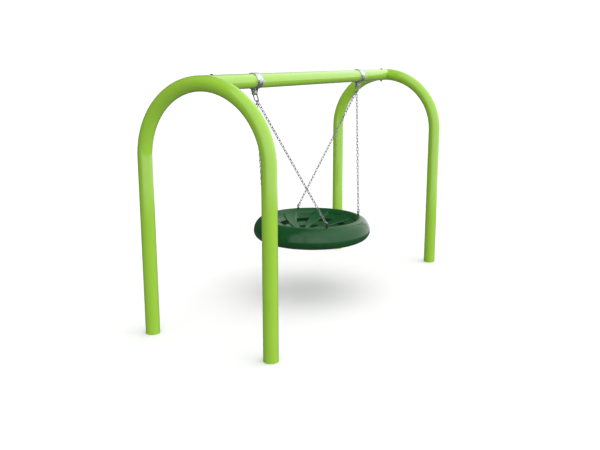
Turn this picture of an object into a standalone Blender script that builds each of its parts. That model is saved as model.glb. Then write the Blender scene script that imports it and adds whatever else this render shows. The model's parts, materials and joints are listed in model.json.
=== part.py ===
"""Saucer nest swing: two bent-tube arches, a top beam, two swivel hangers, four chains, a saucer.

Metres. +X runs along the beam, +Y is the way the seat swings, +Z is up. The origin is on the
ground under the middle of the beam. Left is -X, right is +X, front is -Y and back is +Y.
"""
import math

import bmesh
import bpy
from mathutils import Matrix, Vector

GAP = 0.0003                    # left between two pieces that touch

# Frame: one tube size for the arches and the beam
TUBE_RADIUS = 0.0635
TUBE_WALL = 0.005
TUBE_SIDES = 16
ARCH_X = 1.762                  # half the distance between the arch planes
LEG_Y = 0.63                    # half the distance between an arch's legs, and its bend radius
BEAM_Z = 2.210                  # height of the beam's and the arch tops' centre line
BEND_SEGMENTS = 14              # straight steps in the half-circle bend
BEAM_END_STEP = 0.02            # how far the coped beam stops short of the arch's plane
SPIGOT_REACH = 0.18             # spigot end, from the arch's plane
SPIGOT_PLAY = 0.0005            # radial play of the spigot in the beam
SPLICE_OFFSET = 0.132           # splice bolt, from the arch's plane
HOLE_TURN = math.radians(10)    # keeps a hole's corners off the tube's edges

# Fasteners: heads as (radius, height), nuts as (width across corners, height)
M12_RADIUS = 0.006
M12_HOLE = 0.0066
M12_NUT = (0.022, 0.010)
M8_RADIUS = 0.004
M8_HOLE = 0.0046
M8_NUT = (0.015, 0.0065)
SPLICE_HEAD = (0.0125, 0.008)
SPLICE_TAIL = 0.016             # thread that stands out of the beam's underside
EAR_BOLT_HEAD = (0.0078, 0.005)
EAR_BOLT_LENGTH = 0.0225
PIVOT_HEAD = (0.011, 0.008)
PIVOT_TAIL = 0.013
PIN_RADIUS = 0.005
PIN_HEAD = (0.008, 0.005)
PIN_TAIL = 0.005

# Pipe clamp
HANGER_X = 1.0175               # half the distance between the hangers
CLAMP_WIDTH = 0.090
CLAMP_THICKNESS = 0.0065
CLAMP_STEPS = 12                # straight steps round each half
CLAMP_SPLIT = 0.001             # half the slit between the two halves
EAR_REACH = 0.092               # ear edge, from the beam's centre line
EAR_BOLT_Y = 0.0815
EAR_BOLT_X = 0.027
CHEEK_THICKNESS = 0.008
CHEEK_X = 0.020                 # cheek mid-plane, from the hanger's centre
CHEEK_TOP_HALF_WIDTH = 0.029
CHEEK_FOOT_HALF_WIDTH = 0.012
CHEEK_FOOT_DROP = 0.125         # cheek foot, below the beam's centre line

# Hanger
PIVOT_Z = BEAM_Z - 0.083        # swing axis, along X
CROSS_Z = PIVOT_Z - 0.028       # sway axis, along Y
PENDULUM_HALF_LENGTH = 0.0145
PENDULUM_EYE_RADIUS = 0.0112
PENDULUM_EYE_TILT = 20          # degrees the eye's arc runs down past level
PENDULUM_HALF_WIDTH = 0.016
PENDULUM_SHOULDER_DROP = 0.019  # below the swing axis
PENDULUM_FOOT_DROP = 0.040
PENDULUM_CORNER = 0.004
BUSH_OUTER = 0.0084
BUSH_INNER = 0.0065
BOW_WIRE = 0.005
BOW_RADIUS = 0.020              # shackle bow, and its legs' distance from the middle
BOW_LEG = 0.057                 # straight leg, below the sway axis
EYE_DISC_RADIUS = 0.010         # the shackle's two eyes
EYE_DISC_INNER_Y = 0.0163
EYE_DISC_THICKNESS = 0.009
EYE_GAP = (0.040, 2 * EYE_DISC_INNER_Y, 0.030)      # kept clear between the two eyes

# Seat: a ring with an elliptic section, and a bowl whose lip lies on it
SEAT_SEGMENTS = 40
RING_RADIUS = 0.488             # radius of the section's centre
RING_HALF_WIDTH = 0.111
RING_MID_Z = 0.670
RING_RISE = 0.133               # section's upper half
RING_FALL = 0.086               # section's lower half
RING_INNER_RADIUS = 0.405
RING_INNER_WALL = ((0.445, 0.597), (0.415, 0.628), (RING_INNER_RADIUS, 0.670))
RING_WALL = 0.006
LIP_RADIUS = 0.537              # outer edge of the bowl's lip
LIP_THICKNESS = 0.008
BOWL_FLOOR_Z = 0.660
BOWL_RISE = 0.12                # rise of the bowl's parabola at BOWL_RADIUS
BOWL_RADIUS = 0.47
ROLL_START = 0.43               # where the bowl starts to roll up into the lip
HUB_RADIUS = 0.11
RECESS_RADIUS = 0.445           # outer edge of the slats
RECESS_DEPTH = 0.010            # slats lie this far below the straps
SLAT_THICKNESS = 0.008
SLAT_RADII = (0.2, 0.28, 0.36, 0.41)
HUB_STEP = 0.003                # radial run of the step from the hub down to the slats
RIM_STEP = 0.002                # and of the step from the slats up to the rim
LEDGE_RADII = (RECESS_RADIUS, 0.458, 0.471)
UNDERSIDE_RADII = (RING_RADIUS, 0.465, ROLL_START, 0.33)
HUB_UNDERSIDE_RADII = (0.11, 0)
RIB_RADII = (0.230, 0.222)      # stiffening rib under the bowl, between the two rows of slots
RIB_FOOT_Z = 0.634
STRAP_COUNT = 8
STRAP_SINK = 0.001              # strap tops lie this far below the lip and the hub
STRAP_DEPTH = 0.0125
STRAP_BITE = 0.008              # straps run this far into the hub and past the slats
STRAP_STOCK = 0.009             # their ring runs this far past the slats before it is trimmed
STRAP_STEPS = 7
STRAP_ANGLE = math.radians(60.5)        # middle of the first strap at STRAP_START
STRAP_START = 0.46
STRAP_SWEEP = 0.49              # radians of turn per natural log of radius
STRAP_HALF_ANGLE = math.radians(10.5)
SLOT_BANDS = ((0.130, 0.214), (0.295, 0.358))
SLOT_UNDERCUT = 0.004           # slots run this far under the straps
CUTTER_HEIGHT = 0.4             # more than the bowl's height

# Seat hardware
EYE_X = 0.34
EYE_Y = 0.365
COLLAR_Z = 0.8033               # underside of the eye bolt's collar
COLLAR_RADIUS = 0.013
COLLAR_THICKNESS = 0.0045
EYE_RADIUS = 0.016              # centre line of the eye
EYE_WIRE = 0.004
EYE_SINK = 0.002                # the eye's wire sits this far into the collar
EYE_Z = COLLAR_Z + COLLAR_THICKNESS + EYE_RADIUS + EYE_WIRE - EYE_SINK
HOOP_RADIUS = math.hypot(EYE_X, EYE_Y)
HOOP_BAR = 0.010
HOOP_Z = 0.755
BOSS_TOP = 0.7825
SHANK_END = 0.747
SHANK_HOLE_Z = 0.79             # middle of the hole through bowl and ring
SHANK_HOLE_LENGTH = 0.05
LINK_WIRE = 0.004
LINK_HALF_WIDTH = 0.012         # centre line
LINK_HALF_LENGTH = 0.019
LINK_PLAY = 0.001
CHAIN_ROD = 0.006               # a rod with the chain's steel per metre
CHAIN_TOP_Y = 0.0045            # where a chain sits on the bow, from its middle
HANG_LEAN = math.atan2(HANGER_X - EYE_X, CROSS_Z - EYE_Z)    # the shackles pull in line
DRAIN_RADIUS = 0.008
DRAIN_COUNT = 4

SIDES = {"left": -1, "right": 1}
ENDS = {"front": -1, "back": 1}


def new_collection(name):
    collection = bpy.data.collections.new(name)
    bpy.context.scene.collection.children.link(collection)
    return collection


def new_material(name, colour, roughness, metallic):
    material = bpy.data.materials.new(name)
    material.use_nodes = True
    shader = material.node_tree.nodes["Principled BSDF"]
    shader.inputs["Base Color"].default_value = (*colour, 1.0)
    shader.inputs["Roughness"].default_value = roughness
    shader.inputs["Metallic"].default_value = metallic
    material.diffuse_color = (*colour, 1.0)
    return material


for old in list(bpy.data.objects):
    bpy.data.objects.remove(old, do_unlink=True)

PARTS = new_collection("saucer_nest_swing")
CUTTERS = new_collection("cutters")
FINISHES = {
    "lime": ((0.27, 0.50, 0.05), 0.3, 0.0),
    "zinc": ((0.62, 0.64, 0.65), 0.4, 1.0),
    "steel": ((0.45, 0.46, 0.47), 0.35, 1.0),
    "chain_zinc": ((0.40, 0.41, 0.42), 0.4, 1.0),
    "dark_steel": ((0.13, 0.13, 0.135), 0.4, 1.0),
    "bronze": ((0.45, 0.30, 0.12), 0.4, 1.0),
    "green": ((0.02, 0.11, 0.04), 0.45, 0.0),
}


# Placing ---------------------------------------------------------------------------------------

def add_axis(name, location, parent=None):
    """An empty on a joint's axis, which the moving pieces hang from."""
    empty = bpy.data.objects.new(name, None)
    PARTS.objects.link(empty)
    put(empty, Matrix.Translation(location), parent)
    return empty


def put(thing, matrix, parent=None):
    """Puts an object at a world matrix, under an unrotated parent."""
    if parent is not None:
        thing.parent = parent
        matrix = Matrix.Translation(-world_location(parent)) @ matrix
    thing.matrix_local = matrix


def world_location(thing):
    place = Vector((0, 0, 0))
    while thing is not None:
        place += thing.location
        thing = thing.parent
    return place


def add_part(name, mesh, finish, matrix=Matrix.Identity(4), parent=None):
    part = bpy.data.objects.new(name, mesh)
    PARTS.objects.link(part)
    put(part, matrix, parent)
    if not mesh.materials:
        mesh.materials.append(new_material(name, *FINISHES[finish]))
        mesh.shade_smooth()
        mesh.set_sharp_from_angle(angle=math.radians(35))
    return part


def add_cutter(name, mesh, matrix=Matrix.Identity(4)):
    cutter = bpy.data.objects.new(name, mesh)
    CUTTERS.objects.link(cutter)
    cutter.matrix_world = matrix
    cutter.hide_render = True
    cutter.display_type = "WIRE"
    return cutter


def combine(part, other, operation):
    modifier = part.modifiers.new(f"{operation.lower()}_{other.name}", "BOOLEAN")
    modifier.operation = operation
    modifier.object = other
    modifier.solver = "EXACT"


def along(axis, location):
    """A matrix that turns local +Z to a direction and moves the origin to a location."""
    turn = Vector((0, 0, 1)).rotation_difference(Vector(axis)).to_matrix().to_4x4()
    return Matrix.Translation(location) @ turn


def across_beam(location):
    """Local X, Y, Z lie along world Y, Z, X, for outlines drawn across the beam."""
    turn = Matrix(((0, 0, 1, 0), (1, 0, 0, 0), (0, 1, 0, 0), (0, 0, 0, 1)))
    return Matrix.Translation(location) @ turn


# Shapes ----------------------------------------------------------------------------------------

def mesh_of(thing):
    """The evaluated mesh of a temporary object, which is then removed."""
    bpy.context.scene.collection.objects.link(thing)
    graph = bpy.context.evaluated_depsgraph_get()
    mesh = bpy.data.meshes.new_from_object(thing.evaluated_get(graph))
    mesh.materials.clear()
    bpy.data.objects.remove(thing, do_unlink=True)
    clean = bmesh.new()
    clean.from_mesh(mesh)
    bmesh.ops.remove_doubles(clean, verts=clean.verts, dist=1e-6)
    clean.to_mesh(mesh)
    clean.free()
    return mesh


def cylinder(radius, length, sides=12):
    """A cylinder centred on the origin, along Z."""
    mesh = bpy.data.meshes.new("cylinder")
    shape = bmesh.new()
    bmesh.ops.create_cone(
        shape, cap_ends=True, segments=sides, radius1=radius, radius2=radius, depth=length
    )
    shape.to_mesh(mesh)
    shape.free()
    return mesh


def block_mesh(size):
    """A box centred on the origin."""
    mesh = bpy.data.meshes.new("block")
    shape = bmesh.new()
    bmesh.ops.create_cube(shape, size=1, matrix=Matrix.Diagonal((*size, 1)))
    shape.to_mesh(mesh)
    shape.free()
    return mesh


def turned(outline, sides, closed=False):
    """A profile of (radius, z) points turned about Z. It runs down its outer side."""
    mesh = bpy.data.meshes.new("profile")
    edges = [(i, i + 1) for i in range(len(outline) - 1)]
    if closed:
        edges.append((len(outline) - 1, 0))
    mesh.from_pydata([(r, 0, z) for r, z in outline], edges, [])
    temporary = bpy.data.objects.new("turning", mesh)
    screw = temporary.modifiers.new("screw", "SCREW")
    screw.angle = math.tau
    screw.steps = sides
    screw.render_steps = sides
    screw.use_merge_vertices = True
    screw.merge_threshold = 0.00001
    screw.use_smooth_shade = False
    return mesh_of(temporary)


def curve_mesh(points, wire=0.0, thickness=0.0, round_steps=2, cyclic=False, capped=True):
    """A wire along points, or the flat outline inside them given a thickness along Z."""
    curve = bpy.data.curves.new("curve", "CURVE")
    curve.dimensions = "3D" if wire else "2D"
    curve.fill_mode = "FULL" if wire else "BOTH"
    curve.bevel_depth = wire
    curve.bevel_resolution = round_steps if wire else 0
    curve.extrude = thickness / 2
    curve.use_fill_caps = capped
    spline = curve.splines.new("POLY")
    spline.points.add(len(points) - 1)
    for point, place in zip(spline.points, points):
        point.co = (*place, *([0] * (3 - len(place))), 1)
    spline.use_cyclic_u = cyclic or not wire
    return mesh_of(bpy.data.objects.new("curve", curve))


def arc(centre, radius, start, end, steps):
    """Points on an arc from one angle to another, in degrees."""
    angles = [math.radians(start + (end - start) * i / steps) for i in range(steps + 1)]
    return [(centre[0] + radius * math.cos(a), centre[1] + radius * math.sin(a)) for a in angles]


# Frame -----------------------------------------------------------------------------------------

def arch_line(x):
    """Centre line of an arch: leg, half circle, leg."""
    spring = BEAM_Z - LEG_Y
    bend = arc((0, spring), LEG_Y, 180, 0, BEND_SEGMENTS)
    return [(x, y, z) for y, z in [(-LEG_Y, 0), *bend, (LEG_Y, 0)]]


def tube_mesh(length, outer, wall):
    half = length / 2
    loop = [(outer, half), (outer, -half), (outer - wall, -half), (outer - wall, half)]
    return turned(loop, TUBE_SIDES, closed=True)


def button_bolt(radius, head, length, sides=12):
    """A round-headed bolt along Z: the underside of the head is at the origin."""
    head_radius, head_height = head
    outline = [
        (0, head_height),
        (head_radius * 0.7, head_height * 0.85),
        (head_radius, head_height * 0.35),
        (head_radius, 0),
        (radius, 0),
        (radius, -length),
        (0, -length),
    ]
    return turned(outline, sides)


def hex_nut(hole, size):
    """A hexagonal ring whose top is at the origin."""
    across_corners, height = size
    inner = (hole + GAP) / math.cos(math.radians(30))
    outer = across_corners / 2
    return turned([(outer, 0), (outer, -height), (inner, -height), (inner, 0)], 6, closed=True)


def build_frame():
    arch_sides = TUBE_SIDES // 2 - 2
    for side, sign in SIDES.items():
        x = sign * ARCH_X
        skin = curve_mesh(arch_line(x), TUBE_RADIUS, round_steps=arch_sides, capped=False)
        arch = add_part(f"arch_{side}", skin, "lime")
        shell = arch.modifiers.new("wall", "SOLIDIFY")
        shell.thickness = TUBE_WALL
        shell.offset = -1
        shell.use_even_offset = True
        solid = curve_mesh(arch_line(x), TUBE_RADIUS + GAP, round_steps=arch_sides)
        add_cutter(f"cope_{side}", solid)
        bolt_x = sign * (ARCH_X - SPLICE_OFFSET)
        hole = cylinder(M12_HOLE, 3 * TUBE_RADIUS)
        place = Matrix.Translation((bolt_x, 0, BEAM_Z)) @ Matrix.Rotation(HOLE_TURN, 4, "Z")
        add_cutter(f"splice_hole_{side}", hole, place)

    beam_mesh = tube_mesh(2 * (ARCH_X - BEAM_END_STEP), TUBE_RADIUS, TUBE_WALL)
    beam = add_part("top_beam", beam_mesh, "lime", along((1, 0, 0), (0, 0, BEAM_Z)))
    spigot_radius = TUBE_RADIUS - TUBE_WALL - SPIGOT_PLAY
    for side, sign in SIDES.items():
        middle = sign * (ARCH_X - SPIGOT_REACH / 2)
        spigot = add_part(
            f"spigot_{side}",
            tube_mesh(SPIGOT_REACH, spigot_radius, TUBE_WALL),
            "zinc",
            along((1, 0, 0), (middle, 0, BEAM_Z)),
        )
        for part in (beam, spigot):
            combine(part, CUTTERS.objects[f"cope_{side}"], "DIFFERENCE")
            combine(part, CUTTERS.objects[f"splice_hole_{side}"], "DIFFERENCE")
        bolt_x = sign * (ARCH_X - SPLICE_OFFSET)
        top = (bolt_x, 0, BEAM_Z + TUBE_RADIUS + GAP)
        bolt = button_bolt(M12_RADIUS, SPLICE_HEAD, 2 * TUBE_RADIUS + SPLICE_TAIL)
        add_part(f"splice_bolt_{side}", bolt, "dark_steel", Matrix.Translation(top))
        under = (bolt_x, 0, BEAM_Z - TUBE_RADIUS - GAP)
        nut = hex_nut(M12_RADIUS, M12_NUT)
        add_part(f"splice_nut_{side}", nut, "dark_steel", Matrix.Translation(under))


# Clamps ----------------------------------------------------------------------------------------

def clamp_outline(up):
    """Half a band with two ears, drawn across the beam. up is 1 for the upper half."""
    inner = (TUBE_RADIUS + GAP) / math.cos(math.pi / (2 * CLAMP_STEPS))
    outer = inner + CLAMP_THICKNESS
    ear_top = CLAMP_SPLIT + CLAMP_THICKNESS
    outer_tilt = math.degrees(math.asin(ear_top / outer))
    inner_tilt = math.degrees(math.asin(CLAMP_SPLIT / inner))
    points = [(EAR_REACH, CLAMP_SPLIT), (EAR_REACH, ear_top)]
    points += arc((0, 0), outer, outer_tilt, 180 - outer_tilt, CLAMP_STEPS)
    points += [(-EAR_REACH, ear_top), (-EAR_REACH, CLAMP_SPLIT)]
    points += arc((0, 0), inner, 180 - inner_tilt, inner_tilt, CLAMP_STEPS)
    return [(y, up * z) for y, z in points]


def cheek_outline():
    """A hanging plate: its top is inside the band, and it narrows to a round foot."""
    middle = TUBE_RADIUS + GAP + CLAMP_THICKNESS / 2
    half_span = math.degrees(math.asin(CHEEK_TOP_HALF_WIDTH / middle))
    foot = (0, -CHEEK_FOOT_DROP + CHEEK_FOOT_HALF_WIDTH)
    top = arc((0, 0), middle, -90 + half_span, -90 - half_span, 6)
    return top + arc(foot, CHEEK_FOOT_HALF_WIDTH, 180, 360, 6)


def build_clamp(side, sign):
    x = sign * HANGER_X
    centre = (x, 0, BEAM_Z)
    halves = {}
    for level, up in (("upper", 1), ("lower", -1)):
        band = curve_mesh(clamp_outline(up), thickness=CLAMP_WIDTH)
        halves[level] = add_part(f"clamp_{level}_{side}", band, "zinc", across_beam(centre))
    for end in (-1, 1):
        cheek = curve_mesh(cheek_outline(), thickness=CHEEK_THICKNESS)
        name = f"cheek_{side}_{'outer' if end == sign else 'inner'}"
        place = across_beam((x + end * CHEEK_X, 0, BEAM_Z))
        combine(halves["lower"], add_cutter(name, cheek, place), "UNION")
    bore = cylinder(M12_HOLE, CLAMP_WIDTH)
    bore_cutter = add_cutter(f"pivot_hole_{side}", bore, along((1, 0, 0), (x, 0, PIVOT_Z)))
    combine(halves["lower"], bore_cutter, "DIFFERENCE")

    bolt = button_bolt(M8_RADIUS, EAR_BOLT_HEAD, EAR_BOLT_LENGTH, sides=8)
    nut = hex_nut(M8_RADIUS, M8_NUT)
    ear_face = CLAMP_SPLIT + CLAMP_THICKNESS + GAP
    for end, y_sign in ENDS.items():
        for number, x_sign in ((1, -1), (2, 1)):
            place = Vector((x + x_sign * EAR_BOLT_X, y_sign * EAR_BOLT_Y, BEAM_Z))
            tag = f"{side}_{end}_{number}"
            hole = cylinder(M8_HOLE, 4 * CLAMP_THICKNESS, 8)
            cutter = add_cutter(f"ear_hole_{tag}", hole, Matrix.Translation(place))
            for half in halves.values():
                combine(half, cutter, "DIFFERENCE")
            lift = Vector((0, 0, ear_face))
            add_part(f"clamp_bolt_{tag}", bolt, "zinc", Matrix.Translation(place + lift))
            add_part(f"clamp_nut_{tag}", nut, "zinc", Matrix.Translation(place - lift))


# Hangers ---------------------------------------------------------------------------------------

def pendulum_outline():
    """An eye round the swing axis on a straight shank, drawn across the beam."""
    eye = arc((0, 0), PENDULUM_EYE_RADIUS, -PENDULUM_EYE_TILT, 180 + PENDULUM_EYE_TILT, 10)
    shoulder = -PENDULUM_SHOULDER_DROP
    foot = -PENDULUM_FOOT_DROP
    corner = PENDULUM_CORNER
    width = PENDULUM_HALF_WIDTH
    left = [(-width, shoulder), (-width, foot + corner), (-width + corner, foot)]
    right = [(width - corner, foot), (width, foot + corner), (width, shoulder)]
    return eye + left + right


def build_pivot(side, sign):
    """The fixed bolt and nut, and the pendulum with its bushes and cross pin."""
    x = sign * HANGER_X
    outside = CHEEK_X + CHEEK_THICKNESS / 2 + GAP
    pivot_bolt = button_bolt(M12_RADIUS, PIVOT_HEAD, 2 * outside + PIVOT_TAIL)
    place = along((-1, 0, 0), (x - outside, 0, PIVOT_Z))
    add_part(f"pivot_bolt_{side}", pivot_bolt, "steel", place)
    nut = hex_nut(M12_RADIUS, M12_NUT)
    place = along((-1, 0, 0), (x + outside, 0, PIVOT_Z))
    add_part(f"pivot_nut_{side}", nut, "steel", place)

    swing_axis = add_axis(f"swing_axis_{side}", (x, 0, PIVOT_Z))
    block = curve_mesh(pendulum_outline(), thickness=2 * PENDULUM_HALF_LENGTH)
    pendulum = add_part(
        f"pendulum_{side}", block, "steel", across_beam((x, 0, PIVOT_Z)), swing_axis
    )
    bore = cylinder(BUSH_OUTER + GAP, 3 * PENDULUM_HALF_LENGTH)
    cutter = add_cutter(f"bush_bore_{side}", bore, along((1, 0, 0), (x, 0, PIVOT_Z)))
    combine(pendulum, cutter, "DIFFERENCE")
    cross_hole = cylinder(PIN_RADIUS + 2 * GAP, 4 * PENDULUM_HALF_WIDTH)
    cutter = add_cutter(f"cross_hole_{side}", cross_hole, along((0, 1, 0), (x, 0, CROSS_Z)))
    combine(pendulum, cutter, "DIFFERENCE")

    half = PENDULUM_HALF_LENGTH / 2 - GAP
    wall = [(BUSH_OUTER, half), (BUSH_OUTER, -half), (BUSH_INNER, -half), (BUSH_INNER, half)]
    bush = turned(wall, 12, closed=True)
    for number, end in ((1, -1), (2, 1)):
        place = along((1, 0, 0), (x + end * PENDULUM_HALF_LENGTH / 2, 0, PIVOT_Z))
        add_part(f"pivot_bush_{side}_{number}", bush, "bronze", place, swing_axis)
    reach = EYE_DISC_INNER_Y + EYE_DISC_THICKNESS + GAP
    pin = button_bolt(PIN_RADIUS, PIN_HEAD, 2 * reach + PIN_TAIL)
    place = along((0, -1, 0), (x, -reach, CROSS_Z))
    add_part(f"cross_pin_{side}", pin, "steel", place, swing_axis)
    return swing_axis


def hang_frame(sign):
    """The sway axis, turned so that local -Z runs down the middle of a hanger's two chains."""
    turn = Matrix.Rotation(sign * HANG_LEAN, 4, "Y")
    return Matrix.Translation((sign * HANGER_X, 0, CROSS_Z)) @ turn


def build_shackle(side, sign, sway_axis):
    """A bow across the beam whose two eyes turn on the cross pin."""
    bow = arc((0, -BOW_LEG), BOW_RADIUS, 180, 360, 8)
    line = [(0, -BOW_RADIUS, 0), *[(0, y, z) for y, z in bow], (0, BOW_RADIUS, 0)]
    place = hang_frame(sign)
    wire = curve_mesh(line, BOW_WIRE)
    shackle = add_part(f"shackle_{side}", wire, "chain_zinc", place, sway_axis)
    turn = along((0, 1, 0), (0, 0, 0))
    for end, sign_y in ENDS.items():
        y = sign_y * (EYE_DISC_INNER_Y + EYE_DISC_THICKNESS / 2)
        disc = cylinder(EYE_DISC_RADIUS, EYE_DISC_THICKNESS)
        shift = Matrix.Translation((0, y, 0))
        cutter = add_cutter(f"shackle_eye_{side}_{end}", disc, place @ shift @ turn)
        combine(shackle, cutter, "UNION")
    gap = add_cutter(f"shackle_gap_{side}", block_mesh(EYE_GAP), place)
    combine(shackle, gap, "DIFFERENCE")
    hole = cylinder(PIN_RADIUS + 2 * GAP, 4 * BOW_RADIUS)
    combine(shackle, add_cutter(f"shackle_hole_{side}", hole, place @ turn), "DIFFERENCE")


# Chains ----------------------------------------------------------------------------------------

def chain_ends(sign, y_sign):
    """Where a chain sits on the bow, and the centre of its eye on the seat."""
    drop = BOW_LEG + math.sqrt(BOW_RADIUS ** 2 - CHAIN_TOP_Y ** 2)
    top = hang_frame(sign) @ Vector((0, y_sign * CHAIN_TOP_Y, -drop))
    foot = Vector((sign * EYE_X, y_sign * EYE_Y, EYE_Z))
    return top, foot


def build_chain(side, end, sway_axis):
    """A straight rod for the run of links, and the oblong link that holds the seat's eye."""
    top, foot = chain_ends(SIDES[side], ENDS[end])
    down = (foot - top).normalized()
    start = top + down * (2 * BOW_WIRE)
    stop = foot - down * (2 * LINK_HALF_LENGTH + LINK_WIRE + LINK_PLAY)
    rod = cylinder(CHAIN_ROD, (stop - start).length, 8)
    place = along(down, (start + stop) / 2)
    add_part(f"chain_{side}_{end}", rod, "chain_zinc", place, sway_axis)

    straight = LINK_HALF_LENGTH - LINK_HALF_WIDTH
    loop = arc((0, straight), LINK_HALF_WIDTH, 0, 180, 6)
    loop += arc((0, -straight), LINK_HALF_WIDTH, 180, 360, 6)
    wire = curve_mesh([(x, y, 0) for x, y in loop], LINK_WIRE, round_steps=1, cyclic=True)
    across = (Vector((0, 1, 0)) - down * down.y).normalized()
    turn = Matrix((across, -down, across.cross(-down))).transposed().to_4x4()
    place = Matrix.Translation(foot - down * LINK_HALF_LENGTH) @ turn
    add_part(f"seat_link_{side}_{end}", wire, "chain_zinc", place, sway_axis)


# Seat ------------------------------------------------------------------------------------------

def ring_point(angle, inset=0.0):
    """A point on the ring's elliptic section. 0 points outwards and 90 up."""
    a = math.radians(angle)
    rise = RING_RISE if angle > 0 else RING_FALL
    r = RING_RADIUS + (RING_HALF_WIDTH - inset) * math.cos(a)
    return r, RING_MID_Z + (rise - inset) * math.sin(a)


LIP_ANGLE = math.degrees(math.acos((LIP_RADIUS - RING_RADIUS) / RING_HALF_WIDTH))


def bowl_floor(r):
    return BOWL_FLOOR_Z + BOWL_RISE * (r / BOWL_RADIUS) ** 2


def bowl_top(r):
    """Height of the bowl's upper face: a parabola that rolls into the crest of the lip."""
    if r <= ROLL_START:
        return bowl_floor(r)
    span = RING_RADIUS - ROLL_START
    t = (r - ROLL_START) / span
    slope = 2 * BOWL_RISE * ROLL_START / BOWL_RADIUS ** 2
    crest = RING_MID_Z + RING_RISE
    ease_in = 2 * t ** 3 - 3 * t ** 2 + 1
    ease_slope = t ** 3 - 2 * t ** 2 + t
    return ease_in * bowl_floor(ROLL_START) + ease_slope * span * slope + (1 - ease_in) * crest


def bowl_underside(r):
    """The wall is as thick as the lip at the crest, and carries the recess inside it."""
    blend = min(1, max(0, (r - ROLL_START) / (RING_RADIUS - ROLL_START)))
    inner = RECESS_DEPTH + SLAT_THICKNESS
    return bowl_top(r) - (inner + (LIP_THICKNESS - inner) * blend)


def bowl_profile():
    top = [(0, bowl_top(0)), (HUB_RADIUS, bowl_top(HUB_RADIUS))]
    slats = (HUB_RADIUS + HUB_STEP, *SLAT_RADII, RECESS_RADIUS - RIM_STEP)
    top += [(r, bowl_top(r) - RECESS_DEPTH) for r in slats]
    top += [(r, bowl_top(r)) for r in LEDGE_RADII]
    lip = [ring_point(90 - (90 - LIP_ANGLE) * i / 3) for i in range(4)]
    under_lip = [ring_point(LIP_ANGLE + (90 - LIP_ANGLE) * i / 2, LIP_THICKNESS) for i in (0, 1)]
    rib_outer, rib_inner = RIB_RADII
    under = [(r, bowl_underside(r)) for r in (*UNDERSIDE_RADII, rib_outer)]
    under += [(rib_outer, RIB_FOOT_Z), (rib_inner, RIB_FOOT_Z)]
    under += [(r, bowl_underside(r)) for r in (rib_inner, *HUB_UNDERSIDE_RADII)]
    return top + lip + under_lip + under


def strap_angle(r, edge):
    """Angle of a strap's middle (edge 0) or of its sides (edge -1 and 1) at a radius."""
    return STRAP_ANGLE + edge * STRAP_HALF_ANGLE + STRAP_SWEEP * math.log(STRAP_START / r)


def polar(r, angle):
    return r * math.cos(angle), r * math.sin(angle)


def strap_outline(turn):
    start = HUB_RADIUS - 1.5 * STRAP_BITE
    span = RECESS_RADIUS + STRAP_BITE - start
    radii = [start + span * i / STRAP_STEPS for i in range(STRAP_STEPS + 1)]
    one_side = [polar(r, strap_angle(r, -1) + turn) for r in radii]
    other_side = [polar(r, strap_angle(r, 1) + turn) for r in reversed(radii)]
    return one_side + other_side


def slot_outline(inner, outer, turn):
    """The slot between the strap at this turn and the next one, run under both."""
    pitch = math.tau / STRAP_COUNT
    points = []
    for radii in ((inner, (inner + outer) / 2, outer), (outer, (inner + outer) / 2, inner)):
        edge, next_turn, tuck = (1, 0, -1) if radii[0] == inner else (-1, pitch, 1)
        for r in radii:
            angle = strap_angle(r, edge) + turn + next_turn + tuck * SLOT_UNDERCUT / r
            points.append((r, angle))
    first, last = points[2], points[3]
    sweep = [(outer, first[1] + (last[1] - first[1]) * i / 3) for i in (1, 2)]
    back_first, back_last = points[5], points[0]
    back = [(inner, back_first[1] + (back_last[1] - back_first[1]) * i / 3) for i in (1, 2)]
    return [polar(r, a) for r, a in points[:3] + sweep + points[3:] + back]


def joined(meshes):
    """One mesh that holds several closed shapes which don't touch."""
    whole = bmesh.new()
    for mesh in meshes:
        whole.from_mesh(mesh)
    result = bpy.data.meshes.new("joined")
    whole.to_mesh(result)
    whole.free()
    return result


def build_bowl(seat_axis):
    bowl = add_part("seat_bowl", turned(bowl_profile(), SEAT_SEGMENTS), "green", parent=seat_axis)
    pitch = math.tau / STRAP_COUNT
    outlines = [
        slot_outline(inner, outer, k * pitch)
        for inner, outer in SLOT_BANDS
        for k in range(STRAP_COUNT)
    ]
    prisms = joined([curve_mesh(points, thickness=CUTTER_HEIGHT) for points in outlines])
    slots = add_cutter("slots", prisms, Matrix.Translation((0, 0, BOWL_FLOOR_Z)))
    combine(bowl, slots, "DIFFERENCE")

    rim = (RECESS_RADIUS - RIM_STEP, RECESS_RADIUS + STRAP_STOCK)
    radii = (HUB_RADIUS - STRAP_BITE, *SLAT_RADII, *rim)
    loop = [(r, bowl_top(r) - STRAP_SINK) for r in radii]
    loop += [(r, bowl_top(r) - STRAP_DEPTH) for r in reversed(radii)]
    straps = add_cutter("straps", turned(loop, SEAT_SEGMENTS, closed=True))
    bands = joined([
        curve_mesh(strap_outline(k * pitch), thickness=CUTTER_HEIGHT) for k in range(STRAP_COUNT)
    ])
    plan = add_cutter("strap_plan", bands, Matrix.Translation((0, 0, BOWL_FLOOR_Z)))
    combine(straps, plan, "INTERSECT")
    combine(bowl, straps, "UNION")
    return bowl


def inset_loop(points, distance):
    """A closed section moved inwards, for a constant wall."""
    moved = []
    for i, point in enumerate(points):
        before = Vector(points[i - 1])
        here = Vector(point)
        after = Vector(points[(i + 1) % len(points)])
        first = (here - before).normalized()
        second = (after - here).normalized()
        normal = Vector((first.y + second.y, -first.x - second.x)).normalized()
        lean = max(0.5, normal.dot(Vector((first.y, -first.x))))
        moved.append(tuple(here + normal * (distance / lean)))
    return moved


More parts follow.
